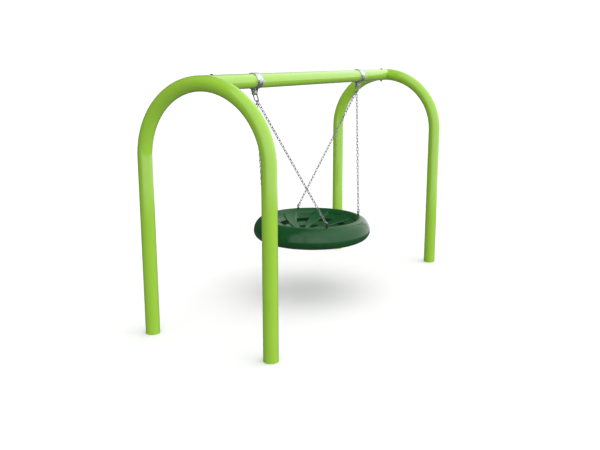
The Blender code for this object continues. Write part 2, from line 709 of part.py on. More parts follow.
def ring_section():
    """Clockwise from the crest: rebate under the lip, bulge, foot, inner wall, bowl's seat."""
    rebate = LIP_THICKNESS + GAP
    points = [ring_point(90 - (90 - LIP_ANGLE) * i / 2, rebate) for i in range(3)]
    points += [ring_point(LIP_ANGLE - 1 - (LIP_ANGLE - 1) * i / 5) for i in range(6)]
    points += [ring_point(-90 * i / 5) for i in range(1, 6)]
    points += RING_INNER_WALL
    seat_radii = (RING_INNER_RADIUS, ROLL_START, UNDERSIDE_RADII[1])
    points += [(r, bowl_underside(r) - 3 * GAP) for r in seat_radii]
    return points


def build_ring(seat_axis):
    section = ring_section()
    solid = turned(section, SEAT_SEGMENTS, closed=True)
    ring = add_part("seat_ring", solid, "green", parent=seat_axis)
    cavity = turned(inset_loop(section, RING_WALL), SEAT_SEGMENTS, closed=True)
    combine(ring, add_cutter("ring_cavity", cavity), "DIFFERENCE")
    for number in range(DRAIN_COUNT):
        place = Matrix.Rotation(number * math.tau / DRAIN_COUNT, 4, "Z")
        place = place @ Matrix.Translation((RING_RADIUS, 0, RING_MID_Z - RING_FALL))
        hole = cylinder(DRAIN_RADIUS, 5 * RING_WALL, 8)
        drain = add_cutter(f"drain_{number + 1}", hole, place)
        combine(ring, drain, "DIFFERENCE")
    return ring


def build_seat_hardware(side, end, seat_axis, drilled, hoop):
    x = SIDES[side] * EYE_X
    y = ENDS[end] * EYE_Y
    tag = f"{side}_{end}"
    hole = cylinder(M12_HOLE, SHANK_HOLE_LENGTH)
    place = Matrix.Translation((x, y, SHANK_HOLE_Z))
    hole_cutter = add_cutter(f"eye_hole_{tag}", hole, place)
    for part in drilled:
        combine(part, hole_cutter, "DIFFERENCE")

    boss = cylinder(COLLAR_RADIUS, BOSS_TOP - HOOP_Z)
    place = Matrix.Translation((x, y, (BOSS_TOP + HOOP_Z) / 2))
    combine(hoop, add_cutter(f"boss_{tag}", boss, place), "UNION")
    thread_top = BOSS_TOP + HOOP_BAR
    thread_foot = SHANK_END - GAP
    thread = cylinder(M12_RADIUS + GAP, thread_top - thread_foot)
    place = Matrix.Translation((x, y, (thread_top + thread_foot) / 2))
    combine(hoop, add_cutter(f"thread_{tag}", thread, place), "DIFFERENCE")

    shank = [
        (0, COLLAR_Z + COLLAR_THICKNESS),
        (COLLAR_RADIUS * 0.7, COLLAR_Z + COLLAR_THICKNESS),
        (COLLAR_RADIUS, COLLAR_Z + COLLAR_THICKNESS / 2),
        (COLLAR_RADIUS, COLLAR_Z),
        (M12_RADIUS, COLLAR_Z),
        (M12_RADIUS, SHANK_END),
        (0, SHANK_END),
    ]
    bolt_mesh = turned([(r, z - EYE_Z) for r, z in shank], 12)
    place = Matrix.Translation((x, y, EYE_Z))
    bolt = add_part(f"eye_bolt_{tag}", bolt_mesh, "dark_steel", place, seat_axis)
    ring_line = [(a, 0, b) for a, b in arc((0, 0), EYE_RADIUS, 0, 330, 11)]
    eye = curve_mesh(ring_line, EYE_WIRE, round_steps=1, cyclic=True)
    combine(bolt, add_cutter(f"eye_{tag}", eye, place), "UNION")


def build_seat():
    seat_axis = add_axis("seat_axis", (-EYE_X, 0, EYE_Z))
    bowl = build_bowl(seat_axis)
    ring = build_ring(seat_axis)
    loop = [(r, z) for r, z in arc((HOOP_RADIUS, HOOP_Z), HOOP_BAR, 90, -225, 7)]
    hoop = add_part("rim_hoop", turned(loop, SEAT_SEGMENTS, closed=True), "steel", parent=seat_axis)
    for side in SIDES:
        for end in ENDS:
            build_seat_hardware(side, end, seat_axis, (bowl, ring), hoop)


build_frame()
for side_name, side_sign in SIDES.items():
    build_clamp(side_name, side_sign)
    swing = build_pivot(side_name, side_sign)
    sway = add_axis(f"sway_axis_{side_name}", (side_sign * HANGER_X, 0, CROSS_Z), swing)
    build_shackle(side_name, side_sign, sway)
    for end_name in ENDS:
        build_chain(side_name, end_name, sway)
build_seat()
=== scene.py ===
"""The looks of a saucer nest swing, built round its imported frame. Metres, +Z up.

+X runs along the beam and +Y is the way the seat swings. Left is -X and front is -Y.
"""
import json
import math

import bmesh
import bpy
from mathutils import Matrix, Vector


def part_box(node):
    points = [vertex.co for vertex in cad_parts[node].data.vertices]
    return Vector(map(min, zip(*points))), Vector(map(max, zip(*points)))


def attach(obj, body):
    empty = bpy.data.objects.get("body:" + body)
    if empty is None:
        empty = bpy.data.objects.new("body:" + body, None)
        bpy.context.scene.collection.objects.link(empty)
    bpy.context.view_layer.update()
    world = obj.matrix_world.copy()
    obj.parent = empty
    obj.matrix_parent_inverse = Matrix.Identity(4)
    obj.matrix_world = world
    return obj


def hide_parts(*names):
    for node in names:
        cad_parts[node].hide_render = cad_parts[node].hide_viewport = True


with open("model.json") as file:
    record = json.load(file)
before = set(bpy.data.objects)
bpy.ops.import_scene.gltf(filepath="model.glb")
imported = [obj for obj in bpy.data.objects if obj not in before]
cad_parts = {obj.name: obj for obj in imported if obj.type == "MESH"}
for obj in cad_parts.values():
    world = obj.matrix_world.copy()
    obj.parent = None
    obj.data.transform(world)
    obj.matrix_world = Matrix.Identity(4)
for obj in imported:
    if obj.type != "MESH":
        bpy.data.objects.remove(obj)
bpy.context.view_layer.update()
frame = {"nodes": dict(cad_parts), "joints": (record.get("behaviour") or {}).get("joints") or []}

SIDES = {"left": -1, "right": 1}
ENDS = {"front": -1, "back": 1}


def middle(node):
    low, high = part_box(node)
    return (low + high) / 2


def extent(node):
    low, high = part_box(node)
    return high - low


# Sizes read from the frame
JOINTS = {joint["name"]: Vector(joint["pos_m"]) for joint in frame["joints"]}
TUBE = extent("arch_left").x / 2
ARCH_X = middle("arch_right").x
LEG_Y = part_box("arch_right")[1].y - TUBE
BEAM_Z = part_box("arch_right")[1].z - TUBE
SPRING_Z = BEAM_Z - LEG_Y                           # where the legs end and the bend starts
HANGER_X = middle("clamp_upper_right").x
CLAMP_WIDTH = extent("clamp_upper_right").x
EAR_REACH = extent("clamp_upper_right").y / 2
PIVOT_Z = JOINTS["left_swing"].z
CROSS_Z = JOINTS["left_sway"].z
EYE = Vector((-JOINTS["seat_tilt"].x, middle("eye_bolt_right_back").y, JOINTS["seat_tilt"].z))
RING_OUTER = extent("seat_ring").x / 2
RING_FOOT_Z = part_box("seat_ring")[0].z
LIP_CREST_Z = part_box("seat_bowl")[1].z
LIP_RADIUS = extent("seat_bowl").x / 2

# Frame
GAP = 0.0003                                        # left between two pieces that touch
TUBE_WALL = 0.005
COPE_GAP = 0.0012                                   # between the beam's end and the arch's skin
COPE_DEPTH_LEAST = 0.006                            # nearest the beam comes to the arch's plane
M12_RADIUS = 0.006
M12_NUT_CORNER = 0.011
M8_RADIUS = 0.004

# Clamps
CLAMP_THICKNESS = 0.0065
CLAMP_INNER = TUBE + 0.0006
CLAMP_SPLIT = 0.001                                 # half the slit between the two halves
EAR_FILLET = 0.006
EAR_BOLT_GAP = 0.0002
CHEEK_X = 0.020                                     # cheek mid-plane, from the hanger's centre
CHEEK_THICKNESS = 0.008
CHEEK_TOP_HALF_WIDTH = 0.029
CHEEK_FOOT_RADIUS = 0.012
CHEEK_FOOT_DROP = 0.125                             # below the beam's centre line
CHEEK_FOOT_TILT = 8                                 # degrees the foot's arc stops short of level

# Hangers and the links in the seat's eyes
SWIVEL_EYE_RADIUS = 0.0112
SWIVEL_EYE_TILT = 20                                # degrees the eye's arc runs down past level
SWIVEL_HALF_WIDTH = 0.016
SWIVEL_SHOULDER_DROP = 0.019                        # below the swing axis
SWIVEL_FOOT_DROP = 0.040
SWIVEL_CORNER = 0.004
PIN_RADIUS = 0.005
PIN_HEAD_HEIGHT = 0.005
BOW_WIRE = 0.005
BOW_RADIUS = 0.020                                  # also from the middle to the shackle's legs
BOW_LEG = 0.057                                     # straight leg, below the sway axis
BOW_LEG_STATIONS = (0.006, 0.020)
EYE_DISC_RADII = (0.0056, 0.0100)                   # the shackle's two eyes: hole and rim
EYE_DISC_INNER_Y = 0.0163
EYE_DISC_THICKNESS = 0.009
HANG_LEAN = math.atan2(HANGER_X - EYE.x, CROSS_Z - EYE.z)
CHAIN_TOP_Y = 0.0045                                # where a chain crosses the bow
SEAT_LINK_WIRE = 0.004
SEAT_LINK_HALF_LENGTH = 0.019
SEAT_LINK_HALF_WIDTH = 0.012

# Ring of the seat
RING_RADIUS = 0.488                                 # radius of the section's centre
RING_HALF_WIDTH = RING_OUTER - RING_RADIUS
RING_MID_Z = 0.670
RING_RISE = LIP_CREST_Z - RING_MID_Z
RING_FALL = RING_MID_Z - RING_FOOT_Z
RING_INNER_WALL = ((0.470, 0.5855), (0.445, 0.598), (0.418, 0.629), (0.407, 0.670), (0.405, 0.7125))
LIP_ANGLE = math.degrees(math.acos((LIP_RADIUS - RING_RADIUS) / RING_HALF_WIDTH))   # lip's edge
LIP_REBATE = 0.0083                                 # step in the ring that the lip lies in
CAVITY_SHIFT = (0.010, 0.002)                       # outwards and down from the section's centre
CAVITY_HALF_WIDTH = 0.080
CAVITY_MARGIN = 0.016
CAVITY_FLATNESS = 0.93
DRAIN_COUNT = 4
DRAIN_RADIUS = 0.008
DRAIN_REACH = 0.02
EYE_RADIUS = 0.016                                  # eye bolt's eye
EYE_WIRE = 0.004
COLLAR_DROP = 0.0225                                # collar's foot, below the eye's centre
COLLAR_PROFILE = ((0, 0.0055), (0.0060, 0.0055), (0.0085, 0.0050), (0.0125, 0.0035),
                  (0.0130, 0.0025), (0.0130, 0.0006), (0.0124, 0.0))

# Bowl of the seat
BOWL_FLOOR_Z = 0.660
BOWL_RISE = 0.12                                    # rise of the bowl's parabola at BOWL_RADIUS
BOWL_RADIUS = 0.47
BOWL_SOLID_WALLS = (0.018, 0.008)                   # the solid's thickness at its floor and lip
ROLL_START = 0.43                                   # where the bowl starts to roll into the lip
RECESS_RADIUS = 0.445
RECESS_DEPTH = 0.010
HUB_RADIUS = 0.11
STRAP_COUNT = 8
STRAP_PITCH = math.tau / STRAP_COUNT
STRAP_ANGLE = math.radians(60.5)                    # of a strap's middle, at STRAP_START
STRAP_START = 0.46
STRAP_SWEEP = 0.49                                  # radians of swirl for each e-fold of radius
STRAP_HALF_ANGLE = math.radians(10.5)
SLOT_BANDS = ((0.130, 0.214), (0.295, 0.358))
RIB_RADII = (0.222, 0.230)
RIB_FOOT_Z = 0.634

# Fine detail, and how finely each shape is divided
TUBE_RIM = 0.0008                                   # rounding of the arch's open ends
BEAM_RIM = 0.0012                                   # rounding of the beam's coped ends
LEG_STATIONS = (0.0, 0.02, 0.4, 0.8, 1.2)
BEAM_STATIONS = (-1.6, -1.3, -0.8, -0.3, 0.3, 0.8, 1.3, 1.6)
BEND_STEPS = 60
ARCH_SIDES = 56
BEAM_SIDES = 72
BAND_STEPS = 44
BAND_EDGE = 0.0010
CHEEK_EDGE = 0.0012
WELD_RADIUS = 0.0025
WELD_HALF_LENGTH = 0.026
SWIVEL_EDGE = 0.0018
EYE_DISC_EDGE = 0.001
CHAIN_WIRE = 0.0032
CHAIN_PITCH = 0.0356
CHAIN_HALF_WIDTH = 0.0098
BOWL_WALL = 0.0068
BOWL_EDGE = 0.0014
BOWL_STEP = 0.0022                                  # half the slope round the hub and the recess
STRAP_EDGE = 0.0022                                 # half the slope at a strap's side
STRAP_CROWN = 0.00084
STRAP_CROWN_REACH = 0.03
STRAP_COLUMNS = 5
GAP_COLUMNS = 8
SWIRL_INNER_RADIUS = 0.1                            # inside this, the columns run straight in
COLUMN_INNER_RADIUS = 0.05                          # inside this, the columns draw together
HUB_GROOVE = (0.091, 0.001, 0.0016)                 # radius, half width and depth
RIM_GROOVE = (0.414, 0.0012, 0.0022)
GROOVE_SIDE = 0.002
LIP_ROUND = (0.0045, 0.0016)                        # width and drop of the lip's rounded edge
LIP_GAP = 0.0009                                    # between the bowl and the ring under it
RING_SIDES = 120

# Light: what a matt surface gets, and what a shiny one mirrors
SOFT_LIGHT_FROM = (0.097, -0.727, 0.679)
SOFT_LIGHT = (0.18, 1.80)
SOFT_LIGHT_START = -0.679
MIRROR_HORIZON = (-0.205, -0.165)
MIRROR_GROUND = 0.15
MIRROR_LEFT = (-0.259, -0.966, 0.0)
MIRROR_LEFT_EDGE = (-0.03, 0.05)
MIRROR_RIGHT = (0.574, -0.819, 0.0)
MIRROR_RIGHT_EDGE = (-0.03, 0.42)
MIRROR_BACK_TO_FRONT = (0.06, 1.6)
MIRROR_TOP_EDGE = (0.75, 0.95)
MIRROR_TOP = 0.65
MIRROR_CARD_AT = (-0.848, -0.530, 0.0)
MIRROR_CARD_EDGE = (0.80, 0.86)
MIRROR_CARD_FOOT = (-0.22, -0.16)
MIRROR_CARD = 2.0
BACKDROP = 1.05

# Camera and floor
CAMERA_PLACE = (-6.510, -3.723, 2.421)
CAMERA_DOWN = 0.2232
CAMERA_TURN = -1.0351
CAMERA_LENS = 44.64
CAMERA_SENSOR = 36.0
FLOOR_RADIUS = 60
FLOOR_Z = -0.001


# Materials -------------------------------------------------------------------------------------

def noise(tree, coordinates, scale, detail=3.0, roughness=0.5):
    made = tree.nodes.new("ShaderNodeTexNoise")
    made.inputs["Scale"].default_value = scale
    made.inputs["Detail"].default_value = detail
    made.inputs["Roughness"].default_value = roughness
    tree.links.new(coordinates, made.inputs["Vector"])
    return made.outputs["Fac"]


def ramp(tree, source, start, first, stop, last):
    """A colour that runs from the first to the last between two values."""
    made = tree.nodes.new("ShaderNodeValToRGB")
    for element, position, colour in zip(made.color_ramp.elements, (start, stop), (first, last)):
        element.position = position
        element.color = (*colour, 1)
    tree.links.new(source, made.inputs["Fac"])
    return made.outputs["Color"]


def spread(tree, source, low, high, start=0.3, end=0.7):
    """Maps the span from start to end, by default the middle of a noise, to low to high."""
    made = tree.nodes.new("ShaderNodeMapRange")
    made.inputs["From Min"].default_value = start
    made.inputs["From Max"].default_value = end
    made.inputs["To Min"].default_value = low
    made.inputs["To Max"].default_value = high
    tree.links.new(source, made.inputs["Value"])
    return made.outputs["Result"]


def bump(tree, source, distance, strength):
    made = tree.nodes.new("ShaderNodeBump")
    made.inputs["Distance"].default_value = distance
    made.inputs["Strength"].default_value = strength
    tree.links.new(source, made.inputs["Height"])
    return made.outputs["Normal"]


def blank(name, metallic=0.0):
    """A material with its tree, its shader and object coordinates."""
    material = bpy.data.materials.new(name)
    material.use_nodes = True
    tree = material.node_tree
    shader = tree.nodes["Principled BSDF"]
    shader.inputs["Metallic"].default_value = metallic
    coordinates = tree.nodes.new("ShaderNodeTexCoord").outputs["Object"]
    return material, tree, shader, coordinates


def scaled(colour, factor):
    return tuple(channel * factor for channel in colour)


def powder_coat(name, colour):
    """Gloss powder coat: a faint orange peel and slow drifts of colour and gloss."""
    material, tree, shader, coordinates = blank(name)
    drift = noise(tree, coordinates, scale=5.0, detail=4.0)
    tint = ramp(tree, drift, 0.3, scaled(colour, 0.975), 0.7, scaled(colour, 1.025))
    tree.links.new(tint, shader.inputs["Base Color"])
    gloss = noise(tree, coordinates, scale=34.0, detail=5.0, roughness=0.6)
    tree.links.new(spread(tree, gloss, low=0.26, high=0.34), shader.inputs["Roughness"])
    peel = noise(tree, coordinates, scale=420.0, detail=2.0)
    skin = bump(tree, peel, distance=0.00008, strength=0.35)
    tree.links.new(skin, shader.inputs["Normal"])
    lacquer = bump(tree, peel, distance=0.00004, strength=0.15)
    tree.links.new(lacquer, shader.inputs["Coat Normal"])
    shader.inputs["Specular IOR Level"].default_value = 0.1
    shader.inputs["Coat Weight"].default_value = 1.0
    shader.inputs["Coat Roughness"].default_value = 0.04
    return material


def moulded_plastic(name, pale, dark):
    """Satin moulded plastic with a fine leather-like grain and rubbed, glossier patches."""
    material, tree, shader, coordinates = blank(name)
    drift = noise(tree, coordinates, scale=7.0, detail=5.0, roughness=0.6)
    tree.links.new(ramp(tree, drift, 0.32, dark, 0.62, pale), shader.inputs["Base Color"])
    rub = noise(tree, coordinates, scale=22.0, detail=6.0, roughness=0.65)
    tree.links.new(spread(tree, rub, low=0.17, high=0.25), shader.inputs["Roughness"])
    grain = noise(tree, coordinates, scale=700.0, detail=3.0, roughness=0.6)
    skin = bump(tree, grain, distance=0.00012, strength=0.4)
    tree.links.new(skin, shader.inputs["Normal"])
    shader.inputs["Specular IOR Level"].default_value = 0.34
    return material


def galvanised(name, pale, dark, low, high):
    """Hot-dip zinc: crystal spangle in colour and gloss, with a slightly lumpy skin."""
    material, tree, shader, coordinates = blank(name, metallic=1.0)
    cells = tree.nodes.new("ShaderNodeTexVoronoi")
    cells.inputs["Scale"].default_value = 130.0
    tree.links.new(coordinates, cells.inputs["Vector"])
    crystal = tree.nodes.new("ShaderNodeSeparateColor")
    tree.links.new(cells.outputs["Color"], crystal.inputs["Color"])
    tint = ramp(tree, crystal.outputs["Red"], 0.15, dark, 0.85, pale)
    tree.links.new(tint, shader.inputs["Base Color"])
    rough = spread(tree, crystal.outputs["Green"], low, high, start=0.0, end=1.0)
    tree.links.new(rough, shader.inputs["Roughness"])
    lumps = noise(tree, coordinates, scale=160.0, detail=4.0, roughness=0.55)
    skin = bump(tree, lumps, distance=0.0003, strength=0.5)
    tree.links.new(skin, shader.inputs["Normal"])
    return material


def machined(name, pale, dark, low, high):
    """Machined or drawn metal: stains in its colour, and a fine grain in its gloss."""
    material, tree, shader, coordinates = blank(name, metallic=1.0)
    stain = noise(tree, coordinates, scale=90.0, detail=5.0, roughness=0.6)
    tree.links.new(ramp(tree, stain, 0.3, dark, 0.7, pale), shader.inputs["Base Color"])
    fine = noise(tree, coordinates, scale=1400.0, detail=2.0)
    tree.links.new(spread(tree, fine, low, high), shader.inputs["Roughness"])
    skin = bump(tree, fine, distance=0.00006, strength=0.4)
    tree.links.new(skin, shader.inputs["Normal"])
    return material


FINISHES = {
    "lime_coat": powder_coat("lime_powder_coat", (0.318, 0.59, 0.046)),
    "seat_green": moulded_plastic("green_plastic", (0.0082, 0.082, 0.020), (0.0066, 0.068, 0.0165)),
    "galvanised": galvanised("zinc", (0.72, 0.74, 0.75), (0.48, 0.50, 0.51), 0.28, 0.45),
    # The chains' zinc is a darker copy of the zinc above. Its extra darkness is painted shade,
    # standing in for the dim reflections the chains show.
    "chain_zinc": galvanised("chain_zinc", (0.50, 0.51, 0.52), (0.20, 0.21, 0.22), 0.30, 0.5),
    # The near-black colour of this steel is painted shade: the splice screws and eye bolts that wear
    # it are pale metal, and look dark only where shade and dim reflections fall on them.
    "dark_steel": machined("dark_steel", (0.045, 0.05, 0.046), (0.02, 0.024, 0.021), 0.3, 0.45),
    "stainless": machined("stainless_steel", (0.55, 0.55, 0.55), (0.38, 0.38, 0.39), 0.22, 0.4),
    "bronze": machined("bearing_bronze", (0.50, 0.33, 0.14), (0.36, 0.23, 0.09), 0.3, 0.5),
}


# Shapes ----------------------------------------------------------------------------------------

def finished(shape):
    """A bmesh made into a mesh, with its faces pointing out."""
    bmesh.ops.recalc_face_normals(shape, faces=shape.faces)
    mesh = bpy.data.meshes.new("shape")
    shape.to_mesh(mesh)
    shape.free()
    return mesh


def bridge(shape, first, second):
    """Faces between two loops of points. A loop of one point is a pole."""
    count = max(len(first), len(second))
    for i in range(count):
        j = (i + 1) % count
        corners = []
        for point in (first[i % len(first)], first[j % len(first)],
                      second[j % len(second)], second[i % len(second)]):
            if point not in corners:
                corners.append(point)
        shape.faces.new(corners)


def loft(rings, cyclic=False, capped=False):
    """A skin through rings of points that each have the same count, or one point at a pole."""
    shape = bmesh.new()
    loops = [[shape.verts.new(point) for point in ring] for ring in rings]
    for first, second in zip(loops, loops[1:]):
        bridge(shape, first, second)
    if cyclic:
        bridge(shape, loops[-1], loops[0])
    if capped:
        shape.faces.new(loops[0])
        shape.faces.new(loops[-1])
    return finished(shape)


def around(sides):
    """Angles that go once round."""
    return [math.tau * k / sides for k in range(sides)]


def circle(radius, z, sides):
    if radius < 1e-6:
        return [Vector((0, 0, z))]
    return [Vector((radius * math.cos(a), radius * math.sin(a), z)) for a in around(sides)]


def turned(profile, sides, cyclic=False):
    """A (radius, z) profile turned about Z. It starts and ends on the axis unless cyclic."""
    return loft([circle(r, z, sides) for r, z in profile], cyclic=cyclic)


def evenly(start, stop, count):
    """A count of values from start to stop, both included."""
    return [start + (stop - start) * i / (count - 1) for i in range(count)]


def arc(centre, radius, start, end, steps):
    """Points on an arc between two angles, in degrees."""
    angles = [math.radians(start + (end - start) * i / steps) for i in range(steps + 1)]
    return [(centre[0] + radius * math.cos(a), centre[1] + radius * math.sin(a)) for a in angles]


def rounded(points, radius, steps, cyclic=False):
    """The corners of a flat outline, rounded off. An open outline keeps its two ends."""
    result = []
    count = len(points)
    for i, point in enumerate(points):
        here = Vector(point)
        if not cyclic and i in (0, count - 1):
            result.append(tuple(here))
            continue
        before = Vector(points[i - 1]) - here
        after = Vector(points[(i + 1) % count]) - here
        reach = min(radius, before.length * 0.45, after.length * 0.45)
        start = here + before.normalized() * reach
        stop = here + after.normalized() * reach
        for t in evenly(0.0, 1.0, steps + 1):
            place = start * (1 - t) ** 2 + here * 2 * t * (1 - t) + stop * t ** 2
            result.append(tuple(place))
    return result


def sweep(path, radius, sides, cyclic=False):
    """A round wire along a path that lies in one plane."""
    points = [Vector(point) for point in path]
    count = len(points)
    spans = [b - a for a, b in zip(points, points[1:])]
    plane = next(a.cross(b) for a in spans for b in spans if a.cross(b).length > 1e-9)
    plane.normalize()
    rings = []
    for i, point in enumerate(points):
        before = points[i - 1] if cyclic or i else points[i]
        after = points[(i + 1) % count] if cyclic or i < count - 1 else points[i]
        ahead = (after - before).normalized()
        side = ahead.cross(plane)
        rings.append([
            point + (side * math.cos(a) + plane * math.sin(a)) * radius for a in around(sides)
        ])
    return loft(rings, cyclic=cyclic, capped=not cyclic)


def slab(outline, thickness, edge, steps=2):
    """A flat outline given a thickness about Z = 0, with rounded rims."""
    shape = bmesh.new()
    bottom = [shape.verts.new((x, y, -thickness / 2)) for x, y in outline]
    top = [shape.verts.new((x, y, thickness / 2)) for x, y in outline]
    bridge(shape, bottom, top)
    shape.faces.new(bottom)
    shape.faces.new(top)
    bmesh.ops.recalc_face_normals(shape, faces=shape.faces)
    rims = [line for line in shape.edges if line.calc_face_angle() > math.radians(50)]
    bmesh.ops.bevel(shape, geom=rims, offset=edge, segments=steps, affect="EDGES", profile=0.5)
    return finished(shape)


def moved(mesh, matrix):
    copy = mesh.copy()
    copy.transform(matrix)
    return copy


def merged(meshes):
    """One mesh from several closed shapes."""
    whole = bmesh.new()
    for mesh in meshes:
        whole.from_mesh(mesh)
    result = bpy.data.meshes.new("merged")
    whole.to_mesh(result)
    whole.free()
    return result


def along(direction, place):
    """Turns local +Z to a direction and moves the origin to a place."""
    turn = Vector((0, 0, 1)).rotation_difference(Vector(direction)).to_matrix().to_4x4()
    return Matrix.Translation(place) @ turn


def across_beam(place):
    """Local X, Y and Z lie along world Y, Z and X."""
    turn = Matrix(((0, 0, 1, 0), (1, 0, 0, 0), (0, 1, 0, 0), (0, 0, 0, 1)))
    return Matrix.Translation(place) @ turn


def linked(name, data):
    """A new object in the scene."""
    made = bpy.data.objects.new(name, data)
    bpy.context.scene.collection.objects.link(made)
    return made


def dressed(mesh, finish, sharp):
    """Gives a mesh its material and its smooth shading, up to an angle in degrees."""
    mesh.materials.clear()
    mesh.materials.append(FINISHES[finish])
    mesh.shade_smooth()
    mesh.set_sharp_from_angle(angle=math.radians(sharp))


def piece(name, mesh, body, finish, node, sharp=38):
    """A shown piece that rides on a body and stands for a CAD node."""
    dressed(mesh, finish, sharp)
    made = linked(name, mesh)
    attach(made, body)
    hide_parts(node)


def applied(made):
    """Bakes an object's modifiers into its mesh."""
    graph = bpy.context.evaluated_depsgraph_get()
    mesh = bpy.data.meshes.new_from_object(made.evaluated_get(graph))
    made.modifiers.clear()
    made.data = mesh
    return mesh


def cut(mesh, cutters):
    """A mesh with closed shapes taken out of it, one after another."""
    body = linked("cut_body", mesh)
    tools = [linked("cut_tool", cutter) for cutter in cutters]
    for tool in tools:
        modifier = body.modifiers.new("cut", "BOOLEAN")
        modifier.operation = "DIFFERENCE"
        modifier.solver = "EXACT"
        modifier.object = tool
    result = applied(body)
    for extra in [body, *tools]:
        bpy.data.objects.remove(extra)
    return result


def walled(skin, thickness, edge):
    """An open skin given a wall under it, with rounded rims."""
    body = linked("shell", skin)
    shell = body.modifiers.new("wall", "SOLIDIFY")
    shell.thickness = thickness
    shell.offset = -1
    shell.use_even_offset = False
    applied(body)
    bevel = body.modifiers.new("rims", "BEVEL")
    bevel.width = edge
    bevel.segments = 2
    bevel.limit_method = "ANGLE"
    bevel.angle_limit = math.radians(62)
    result = applied(body)
    bpy.data.objects.remove(body)
    return result


# Fasteners -------------------------------------------------------------------------------------

def button_head(radius, head, height, length):
    """A tamper-proof screw along Z: a domed head with a socket and its pin, then a shank."""
    socket = radius * 0.62
    socket_floor = height * 0.45
    pin_top = height * 0.62
    dome = [(head * math.sin(a), height * (0.28 + 0.72 * math.cos(a)))
            for a in map(math.radians, range(30, 91, 10))]
    profile = [(0, pin_top), (socket * 0.3, pin_top), (socket * 0.34, socket_floor)]
    profile += [(socket, socket_floor), (socket, dome[0][1] + 0.0001), *dome]
    profile += [(head, height * 0.08), (head * 0.96, 0), (radius, 0)]
    profile += [(radius, 0.001 - length), (radius * 0.85, -length), (0, -length)]
    return turned(profile, 32)


def nut(corner, height):
    """A hexagon nut under the origin, with its corners turned down."""
    inset = corner * 0.09
    fall = inset * 0.6
    return loft([
        circle(corner - inset, -height, 6),
        circle(corner, fall - height, 6),
        circle(corner, -fall, 6),
        circle(corner - inset, 0, 6),
    ], capped=True)


def upright_screw(name, node, radius, seat, finish):
    """A screw on a vertical axis, with its head on a seat at a height."""
    low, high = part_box(node)
    centre = middle(node)
    screw = button_head(radius, extent(node).x / 2, high.z - seat, seat - low.z)
    place = Matrix.Translation((centre.x, centre.y, seat))
    piece(name, moved(screw, place), "frame", finish, node)


def upright_nut(name, node, finish):
    size = extent(node)
    centre = middle(node)
    place = Matrix.Translation((centre.x, centre.y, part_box(node)[1].z))
    piece(name, moved(nut(size.x / 2, size.z), place), "frame", finish, node)


# Frame -----------------------------------------------------------------------------------------

def arch_path():
    """(y, z, angle) along leg, half circle and leg. The angle, in degrees, points out of the bend."""
    path = [(-LEG_Y, z, 180.0) for z in LEG_STATIONS]
    for angle in evenly(180.0, 0.0, BEND_STEPS + 1):
        a = math.radians(angle)
        path.append((LEG_Y * math.cos(a), SPRING_Z + LEG_Y * math.sin(a), angle))
    path += [(LEG_Y, z, 0.0) for z in reversed(LEG_STATIONS)]
    return path


def arch_ring(x, radius, y, z, angle):
    """A ring of the tube round one point of its path."""
    out = Vector((0, math.cos(math.radians(angle)), math.sin(math.radians(angle))))
    return [
        Vector((x, y, z)) + Vector((math.cos(a), 0, 0)) * radius + out * (math.sin(a) * radius)
        for a in around(ARCH_SIDES)
    ]


def arch_skin(x, radius):
    """Rings from foot to foot, kept clear of the rounded rims."""
    return [arch_ring(x, radius, y, max(z, TUBE_RIM), angle) for y, z, angle in arch_path()]


def arch_feet(x, radius):
    """The rings on the ground, front and back."""
    path = arch_path()
    return arch_ring(x, radius, *path[0]), arch_ring(x, radius, *path[-1])


def build_arches():
    bore = TUBE - TUBE_WALL
    for side, sign in SIDES.items():
        x = sign * ARCH_X
        outer_front, outer_back = arch_feet(x, TUBE - TUBE_RIM)
        inner_front, inner_back = arch_feet(x, bore + TUBE_RIM)
        rings = [outer_front, *arch_skin(x, TUBE), outer_back]
        rings += [inner_back, *reversed(arch_skin(x, bore)), inner_front]
        piece(f"arch_tube_{side}", loft(rings, cyclic=True), "frame", "lime_coat", f"arch_{side}")


def cope_x(y, z):
    """Where the beam's wall stops short of the arch's skin, measured from the middle."""
    off_centre = math.hypot(y, z - SPRING_Z) - LEG_Y
    depth = math.sqrt(max((TUBE + COPE_GAP) ** 2 - off_centre ** 2, COPE_DEPTH_LEAST ** 2))
    return ARCH_X - depth


def beam_ring(radius, x):
    return [Vector((x, y, z)) for y, z in arc((0, BEAM_Z), radius, 0, 360, BEAM_SIDES)[:-1]]


def coped_ring(radius, sign, back=0.0):
    """A ring that follows the arch's skin at one end of the beam, or some way back from it."""
    return [Vector((sign * (cope_x(y, z) - back), y, z)) for _, y, z in beam_ring(radius, 0)]


def build_beam():
    bore = TUBE - TUBE_WALL
    rings = [coped_ring(TUBE - BEAM_RIM, -1), coped_ring(TUBE, -1, BEAM_RIM)]
    rings += [beam_ring(TUBE, x) for x in BEAM_STATIONS]
    rings += [coped_ring(TUBE, 1, BEAM_RIM), coped_ring(TUBE - BEAM_RIM, 1)]
    rings += [coped_ring(bore, 1), *[beam_ring(bore, x) for x in reversed(BEAM_STATIONS)]]
    rings.append(coped_ring(bore, -1))
    piece("beam_tube", loft(rings, cyclic=True), "frame", "lime_coat", "top_beam", sharp=50)


def build_splices():
    for side in SIDES:
        # The screws and nuts get the near-black steel, whose darkness is painted shade.
        upright_screw(f"splice_screw_{side}", f"splice_bolt_{side}", M12_RADIUS,
                      BEAM_Z + TUBE + GAP, "dark_steel")
        upright_nut(f"splice_hex_{side}", f"splice_nut_{side}", "dark_steel")


# Clamps ----------------------------------------------------------------------------------------

